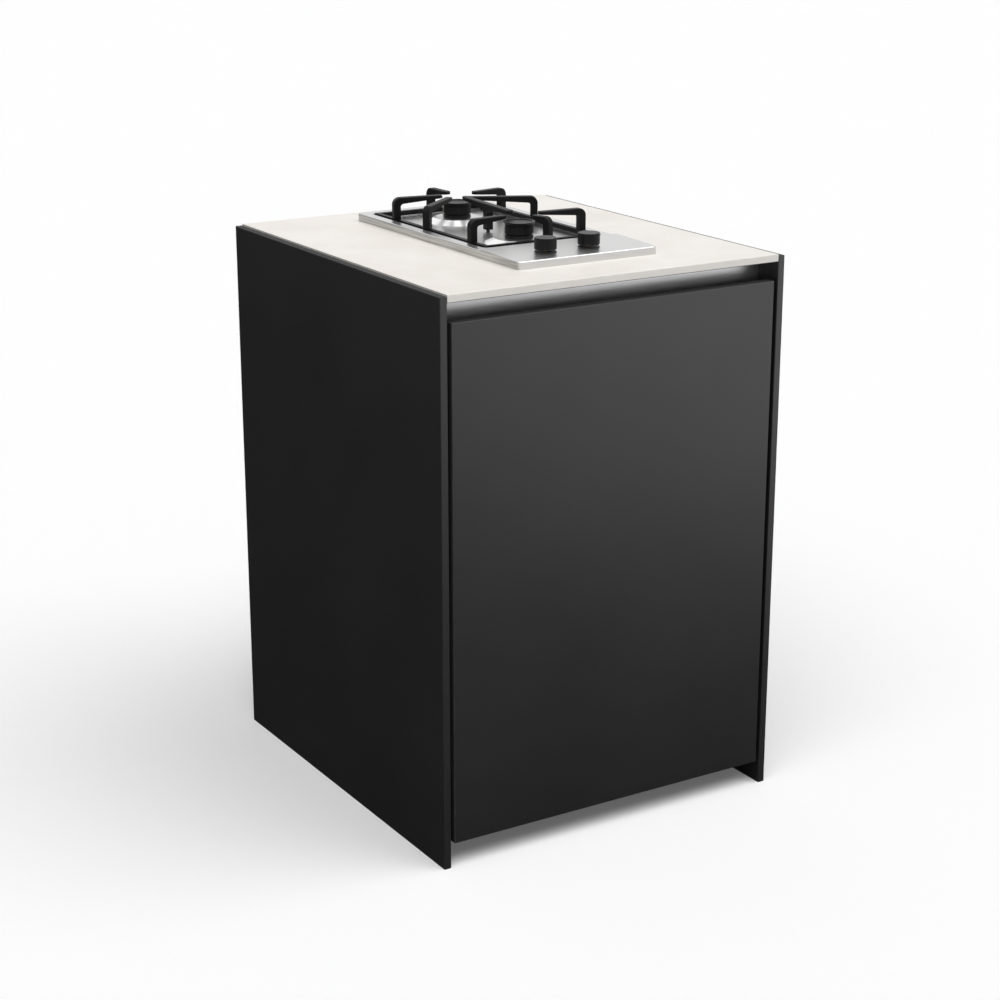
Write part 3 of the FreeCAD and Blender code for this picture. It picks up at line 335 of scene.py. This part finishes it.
# Metals, with noise stretched along the brushing
plainMetal = {
    "stretch": (1, 1, 1),
    "variation": 0.1,
    "bump": (0.35, 0.00003),  # strength and depth
    "rubbedAndHighlit": (0.0006, 1.3),  # reach of the wear and painted edge highlight, and how much lighter it is
    "shadedFlank": None,  # darker colour painted on the faces across the brushing, as painted shade on the plate's sides
    "flankStreaks": ((1, 0.02, 1), 420, 0.28, 0.35, 0.65),  # stretch, scale, variation, noise levels
    "pressed": None,  # lighter colour painted on the slopes in the burner well as their highlight
    "pressedSlope": ((0.995, 0.97), (0.3, 0.6)),  # height of the normal, from flat and from upright faces
}
brushedMetal = dict(plainMetal, stretch=(0.02, 1, 1))
metals = {
    "stainless": dict(brushedMetal, colour=(0.63, 0.63, 0.625), rough=(0.29, 0.36), grain=1400,
                      variation=0.05, bump=(0.35, 0.00001), shadedFlank=(0.48, 0.475, 0.463),
                      pressed=(0.95, 0.95, 0.945)),
    "darkAluminium": dict(brushedMetal, colour=(0.46, 0.46, 0.465), rough=(0.28, 0.36), grain=900),
    "zincSteel": dict(plainMetal, colour=(0.5, 0.51, 0.53), rough=(0.3, 0.5), grain=60),
    "rawAlloy": dict(plainMetal, colour=(0.52, 0.52, 0.52), rough=(0.4, 0.6), grain=300),
    "brassMetal": dict(plainMetal, colour=(0.4, 0.3, 0.15), rough=(0.35, 0.5), grain=500,
                       stretch=(1, 1, 0.1)),
}


def streaked(tree, source, colour, variation, start=0.3, end=0.7):
    # Runs from a darker to a lighter tone of the colour.
    return ramp(tree, source, (start, shade(colour, 1 - variation)), (end, shade(colour, 1 + variation)))


def metalMaterial(name, settings):
    mat, tree, shader = newMaterial(name, Metallic=1.0)
    colour = settings["colour"]
    lines = noise(tree, objectCoords(tree, settings["stretch"]), settings["grain"], detail=3, roughness=0.6)
    brushed = streaked(tree, lines, colour, settings["variation"])
    # Painted shade: faces across the brushing take the darker flank colour.
    if settings["shadedFlank"]:
        stretch, scale, *tones = settings["flankStreaks"]
        streaks = noise(tree, objectCoords(tree, stretch), scale, detail=3, roughness=0.6)
        sides = streaked(tree, streaks, settings["shadedFlank"], *tones)
        brushed = blend(tree, facing(tree, "X"), brushed, sides)
    # Painted highlight: the slopes in the burner well take a lighter colour.
    if settings["pressed"]:
        slope = maths(tree, "MULTIPLY", *(facing(tree, "Z", *limits) for limits in settings["pressedSlope"]))
        slope = maths(tree, "MULTIPLY", slope, insideBox(tree, "pan_support"))
        brushed = blend(tree, slope, brushed, settings["pressed"])
    reach, lighter = settings["rubbedAndHighlit"]
    # Wear and painted highlight: sharp edges turn lighter.
    brushed = blend(tree, wornAndHighlitEdge(tree, objectCoords(tree), reach), brushed, shade(colour, lighter))
    tree.links.new(brushed, shader.inputs["Base Color"])
    tree.links.new(spread(tree, lines, *settings["rough"]), shader.inputs["Roughness"])
    bump(tree, shader, lines, *settings["bump"])
    return mat


metalFinish = {name: metalMaterial(name, settings) for name, settings in metals.items()}


# Dark enamel, plastic and rubber with a fine grain, and white ceramic
plainCoat = {
    "gloss": 0.5,
    "patchShare": 0.08,  # scale of the patches, as a share of the grain
    "variation": 0.2,
    "wornAndHighlit": (0.0005, 3, 0.8),  # reach of the wear and painted edge highlight, how much lighter it is and how light at most
}
coats = {
    "blackIron": dict(level=0.005, rough=(0.36, 0.48), grain=900, bump=(0.2, 0.0002), gloss=0.11),
    "blackEnamel": dict(level=0.006, rough=(0.3, 0.4), grain=500, bump=(0.08, 0.0002), gloss=0.1),
    "burnerAlloy": dict(level=0.007, rough=(0.4, 0.55), grain=1200, bump=(0.2, 0.0002), gloss=0.15),
    "knobPlastic": dict(level=0.005, rough=(0.3, 0.4), grain=1500, bump=(0.12, 0.0001), gloss=0.16),
    "nylon": dict(level=0.05, rough=(0.4, 0.5), grain=700, bump=(0.1, 0.0002)),
    "blackRubber": dict(level=0.015, rough=(0.65, 0.8), grain=800, bump=(0.2, 0.0002)),
    "whiteCeramic": dict(level=0.75, rough=(0.2, 0.3), grain=400, bump=(0.03, 0.0001)),
}


def coatMaterial(name, settings):
    mat, tree, shader = newMaterial(name, Specular_IOR_Level=settings["gloss"])
    vector = objectCoords(tree)
    level = grey(settings["level"])
    patch = noise(tree, vector, settings["grain"] * settings["patchShare"])
    colour = streaked(tree, patch, level, settings["variation"])
    reach, lighter, lightest = settings["wornAndHighlit"]
    edgeLightLevel = min(lightest, settings["level"] * lighter)
    # Wear and painted highlight: sharp edges turn lighter.
    colour = blend(tree, wornAndHighlitEdge(tree, vector, reach), colour, grey(edgeLightLevel))
    tree.links.new(colour, shader.inputs["Base Color"])
    tree.links.new(spread(tree, patch, *settings["rough"]), shader.inputs["Roughness"])
    bump(tree, shader, noise(tree, vector, settings["grain"], detail=3), *settings["bump"])
    return mat


coatFinish = {name: coatMaterial(name, dict(plainCoat, **settings)) for name, settings in coats.items()}
print("finishes made")


# Finishes on the nodes
finishBySlot = {
    "black_laminate": panelLaminate,
    "carcass_laminate": carcassLaminate,
    "pale_stone": paleStone,
    "dark_aluminium": metalFinish["darkAluminium"],
    "stainless": metalFinish["stainless"],
    "zinc_steel": metalFinish["zincSteel"],
    "raw_alloy": metalFinish["rawAlloy"],
    "brass": metalFinish["brassMetal"],
    "black_iron": coatFinish["blackIron"],
    "black_enamel": coatFinish["blackEnamel"],
    "burner_alloy": coatFinish["burnerAlloy"],
    "rubber": coatFinish["blackRubber"],
    "nylon": coatFinish["nylon"],
    "knob_plastic": coatFinish["knobPlastic"],
    "ceramic": coatFinish["whiteCeramic"],
}
ownFinish = {"door_leaf": doorLaminate}
for entry in frame["record"]["subparts"]:
    name = entry["node"]
    slots = nodes[name].data.materials
    slots.clear()
    slots.append(ownFinish.get(name, finishBySlot[entry["material_slot"]]))
print("finishes on all nodes")


# Screws that hold the back board, the pivot brackets and the catch
screw = {
    "radius": 0.0037,
    "height": 0.0016,
    "sides": 24,
    "round": 0.0007,
    "roundSteps": 3,
    "smooth": 35,
    "slot": (0.0044, 0.0009, 0.0011),  # length, width and depth of each bar of the cross
    "slotTaper": 0.6,
    "turn": 37,  # degrees from one screw to the next
    "backRows": (0.109, 0.295, 0.482, 0.668, 0.84),  # heights, into the side boards
    "backColumns": (-0.1, 0.1),  # places across, into the bottom and the rear rail
    "bracketPlate": 0.003,  # thickness under the head
    "bracketSet": (0.010, 0.028),  # behind the board's front
    "catchSpread": 0.015,  # above and below the catch's middle
}
outward = {  # turns a head that looks up
    "back": Matrix.Rotation(math.radians(-90), 4, "X"),
    "left": Matrix.Rotation(math.radians(-90), 4, "Y"),
    "right": Matrix.Rotation(math.radians(90), 4, "Y"),
}


def modelScrew():
    deselectAll()
    height = screw["height"]
    bpy.ops.mesh.primitive_cylinder_add(vertices=screw["sides"], radius=screw["radius"], depth=height,
                                        location=(0, 0, height / 2))
    head = bpy.context.object
    bpy.ops.object.transform_apply(location=True)
    points = head.data.vertices
    editOnly(head, "EDGE", lambda edge: min(points[index].co.z for index in edge.vertices) > height / 2)
    bpy.ops.mesh.bevel(offset=screw["round"], segments=screw["roundSteps"], affect="EDGES")
    bpy.ops.object.mode_set(mode="OBJECT")
    for turn in (0, 90):
        cutSlot(head, turn)
    deselectAll()
    head.select_set(True)
    bpy.context.view_layer.objects.active = head
    bpy.ops.object.shade_smooth_by_angle(angle=math.radians(screw["smooth"]))
    return head


def cutSlot(head, turn):
    # One tapered bar of the cross, sunk into the head.
    deselectAll()
    length, width, depth = screw["slot"]
    bpy.ops.mesh.primitive_cube_add(size=1, location=(0, 0, screw["height"]),
                                    scale=(length, width, depth * 2))
    bar = bpy.context.object
    bpy.ops.object.transform_apply(location=True, scale=True)
    editOnly(bar, "FACE", lambda face: face.normal.z < -0.5)
    bpy.ops.transform.resize(value=(screw["slotTaper"], screw["slotTaper"], 1))
    bpy.ops.object.mode_set(mode="OBJECT")
    bar.rotation_euler.z = math.radians(turn)
    sink = head.modifiers.new("slot", "BOOLEAN")
    sink.operation = "DIFFERENCE"
    sink.object = bar
    bpy.context.view_layer.objects.active = head
    bpy.ops.object.modifier_apply(modifier=sink.name)
    bpy.data.objects.remove(bar)


def middle(nodeName):
    low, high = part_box(nodeName)
    return (low + high) / 2


def screwPlaces():
    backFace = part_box("carcass_back")[1][1]
    sideMiddle = middle("carcass_right")[0]
    for z in screw["backRows"]:
        for x in (-sideMiddle, sideMiddle):
            yield (x, backFace, z), "back"
    for board in ("carcass_bottom", "rear_rail"):
        for x in screw["backColumns"]:
            yield (x, backFace, middle(board)[2]), "back"
    boardSide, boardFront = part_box("carcass_right")[0][:2]
    for bracket in ("lower_pivot_bracket", "upper_pivot_bracket"):
        for back in screw["bracketSet"]:
            yield (boardSide - screw["bracketPlate"], boardFront + back, middle(bracket)[2]), "left"
    catch = middle("door_catch")
    for rise in (-screw["catchSpread"], screw["catchSpread"]):
        yield (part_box("door_catch")[1][0], catch[1], catch[2] + rise), "right"


def placeScrews():
    head = modelScrew()
    for number, (spot, side) in enumerate(screwPlaces()):
        turn = Matrix.Rotation(math.radians(screw["turn"] * number), 4, "Z")
        piece = bpy.data.objects.new(f"screw{number:02d}", head.data.copy())
        bpy.context.scene.collection.objects.link(piece)
        piece.data.transform(Matrix.Translation(spot) @ outward[side] @ turn)
        piece.data.materials.append(metalFinish["zincSteel"])
        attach(piece, "cabinet")
    bpy.data.objects.remove(head)
    print("screws placed:", number + 1)


placeScrews()


# Coil springs in the taps, in place of the solid springs; a real one shortens as a knob is pushed, these are
# fixed to the cabinet
spring = {
    "wire": 0.0012,
    "turns": 5,
    "stepsPerTurn": 20,
    "ringPoints": 10,
    "merge": 0.00001,
    "smooth": 50,
}


def makeSpring(side):
    solid = f"{side}_tap_spring"
    low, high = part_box(solid)
    wire = spring["wire"]
    length = high[2] - low[2]
    foot = ((low[0] + high[0]) / 2, (low[1] + high[1]) / 2, low[2])
    deselectAll()
    bpy.ops.mesh.primitive_circle_add(vertices=spring["ringPoints"], radius=wire / 2,
                                      location=((high[0] - low[0] - wire) / 2, 0, wire / 2),
                                      rotation=(math.radians(90), 0, 0))
    coil = bpy.context.object
    coil.name = f"{side}_tap_coil"
    bpy.ops.object.transform_apply(location=True, rotation=True)
    sweep = coil.modifiers.new("sweep", "SCREW")
    sweep.iterations = spring["turns"]
    sweep.screw_offset = (length - wire) / spring["turns"]
    sweep.steps = spring["stepsPerTurn"]
    sweep.render_steps = spring["stepsPerTurn"]
    bpy.ops.object.modifier_apply(modifier=sweep.name)
    bpy.ops.object.mode_set(mode="EDIT")
    bpy.ops.mesh.select_all(action="SELECT")
    bpy.ops.mesh.remove_doubles(threshold=spring["merge"])
    bpy.ops.mesh.fill_holes(sides=spring["ringPoints"])
    bpy.ops.mesh.normals_make_consistent(inside=False)
    bpy.ops.object.mode_set(mode="OBJECT")
    bpy.ops.object.shade_smooth_by_angle(angle=math.radians(spring["smooth"]))
    coil.location = foot
    bpy.ops.object.transform_apply(location=True)
    coil.data.materials.append(metalFinish["zincSteel"])
    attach(coil, "cabinet")
    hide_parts(solid)
    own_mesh(coil)


for side in ("left", "right"):
    makeSpring(side)
print("springs wound")


# Studio
studio = {
    "floorSize": 80.0,
    "floorGrey": 0.9,
    "floorGlow": 0.1,  # seen by the camera and in reflections only
    "sky": ((0.0, 0.1), (0.4, 0.24), (1.0, 0.34)),  # height of the ray, light on the object
    "sunSides": (-46, 46),  # degrees from straight in front
    "sunHeight": 57,
    "sunSoft": 46,
    "sunPower": 1.33,
    "cardSpan": (-6.0, 6.0),  # from left to right
    "cardDepth": 12.0,
    "cardLift": 0.001,  # above the floor
    "cardAhead": (2.4, 0.04, 0.9),  # distance in front of the unit, glow at the unit and there
    "cardAcross": (0.25, 2.1, 0.62, 1.75),  # share of that glow, and between which places
    "flagSize": (5.0, 1.5),
    "flagPlace": (-3.1, 4.0, 0.75),
}


def seenDirectly(tree):
    # 1 for camera, glossy and transmission rays.
    path = addNode(tree, "ShaderNodeLightPath").outputs
    glossOrCamera = maths(tree, "MAXIMUM", path["Is Camera Ray"], path["Is Glossy Ray"])
    return maths(tree, "MAXIMUM", glossOrCamera, path["Is Transmission Ray"])


def makeFloor():
    deselectAll()
    bpy.ops.mesh.primitive_plane_add(size=studio["floorSize"], location=(0, 0, 0))
    floor = bpy.context.object
    floor.name = "floor"
    mat, tree, surface = bareMaterial("paleFloor")
    diffuse = addNode(tree, "ShaderNodeBsdfDiffuse", Color=(*grey(studio["floorGrey"]), 1))
    glow = addNode(tree, "ShaderNodeEmission")
    level = maths(tree, "MULTIPLY", seenDirectly(tree), studio["floorGlow"])
    tree.links.new(level, glow.inputs["Strength"])
    both = addNode(tree, "ShaderNodeAddShader")
    tree.links.new(diffuse.outputs[0], both.inputs[0])
    tree.links.new(glow.outputs[0], both.inputs[1])
    tree.links.new(both.outputs[0], surface)
    floor.data.materials.append(mat)


def glossOnly(name, size, place, tilt=0):
    # Plane that is seen in gloss alone, black until its glow is set.
    deselectAll()
    bpy.ops.mesh.primitive_plane_add(size=1, location=place, rotation=(math.radians(tilt), 0, 0))
    plane = bpy.context.object
    plane.scale = (*size, 1)
    bpy.ops.object.transform_apply(location=True, rotation=True, scale=True)
    plane.name = name
    plane.visible_camera = False
    plane.visible_diffuse = False
    plane.visible_transmission = False
    plane.visible_shadow = False
    mat, tree, surface = bareMaterial(name)
    glow = addNode(tree, "ShaderNodeEmission", Strength=0)
    tree.links.new(glow.outputs[0], surface)
    plane.data.materials.append(mat)
    return tree, glow


def makeCard():
    # Floor card: dark beside the unit, brighter in front of it and to the right.
    left, right = studio["cardSpan"]
    size = (right - left, studio["cardDepth"])
    tree, glow = glossOnly("floorCard", size, ((left + right) / 2, 0, studio["cardLift"]))
    place = splitAxes(tree, objectCoords(tree))
    reach, near, far = studio["cardAhead"]
    frontFace = cadBox[0][1]
    ahead = spread(tree, place["Y"], near, far, frontFace, frontFace - reach)
    across = spread(tree, place["X"], *studio["cardAcross"])
    tree.links.new(maths(tree, "MULTIPLY", ahead, across), glow.inputs["Strength"])


def makeFlag():
    # Black flag behind the unit on the left, for the left panel's gloss.
    glossOnly("blackFlag", studio["flagSize"], studio["flagPlace"], tilt=90)


def makeWorld():
    # Plain white where it is seen, dimmer where it lights the object.
    world = bpy.data.worlds.new("studioWorld")
    bpy.context.scene.world = world
    world.use_nodes = True
    tree = world.node_tree
    coords = addNode(tree, "ShaderNodeTexCoord")
    height = splitAxes(tree, coords.outputs["Generated"])["Z"]
    sky = ramp(tree, height, *((place, grey(level)) for place, level in studio["sky"]))
    shown = blend(tree, seenDirectly(tree), sky, grey(1))
    tree.links.new(shown, tree.nodes["Background"].inputs["Color"])


def makeSun(name, side):
    sun = bpy.data.lights.new(name, "SUN")
    sun.energy = studio["sunPower"]
    sun.angle = math.radians(studio["sunSoft"])
    sunObject = bpy.data.objects.new(name, sun)
    sunObject.rotation_euler = (math.radians(90 - studio["sunHeight"]), 0, math.radians(side))
    bpy.context.scene.collection.objects.link(sunObject)


makeFloor()
makeCard()
makeFlag()
makeWorld()
for number, side in enumerate(studio["sunSides"]):
    makeSun(f"softSun{number}", side)
print("studio set")


# Camera
view = {
    "place": (-1.7835, -2.9101, 1.5187),
    "toward": (0.4989, 0.8142, -0.2970),
    "lens": 76.2,
    "sensor": 36,
    "reach": 200,
}


def makeCamera():
    camera = bpy.data.cameras.new("camera")
    camera.lens = view["lens"]
    camera.sensor_width = view["sensor"]
    camera.clip_end = view["reach"]
    cameraObject = bpy.data.objects.new("camera", camera)
    cameraObject.location = view["place"]
    cameraObject.rotation_euler = Vector(view["toward"]).to_track_quat("-Z", "Y").to_euler()
    bpy.context.scene.collection.objects.link(cameraObject)
    bpy.context.scene.camera = cameraObject


makeCamera()
bpy.context.scene.view_settings.view_transform = "Standard"
print("camera set")
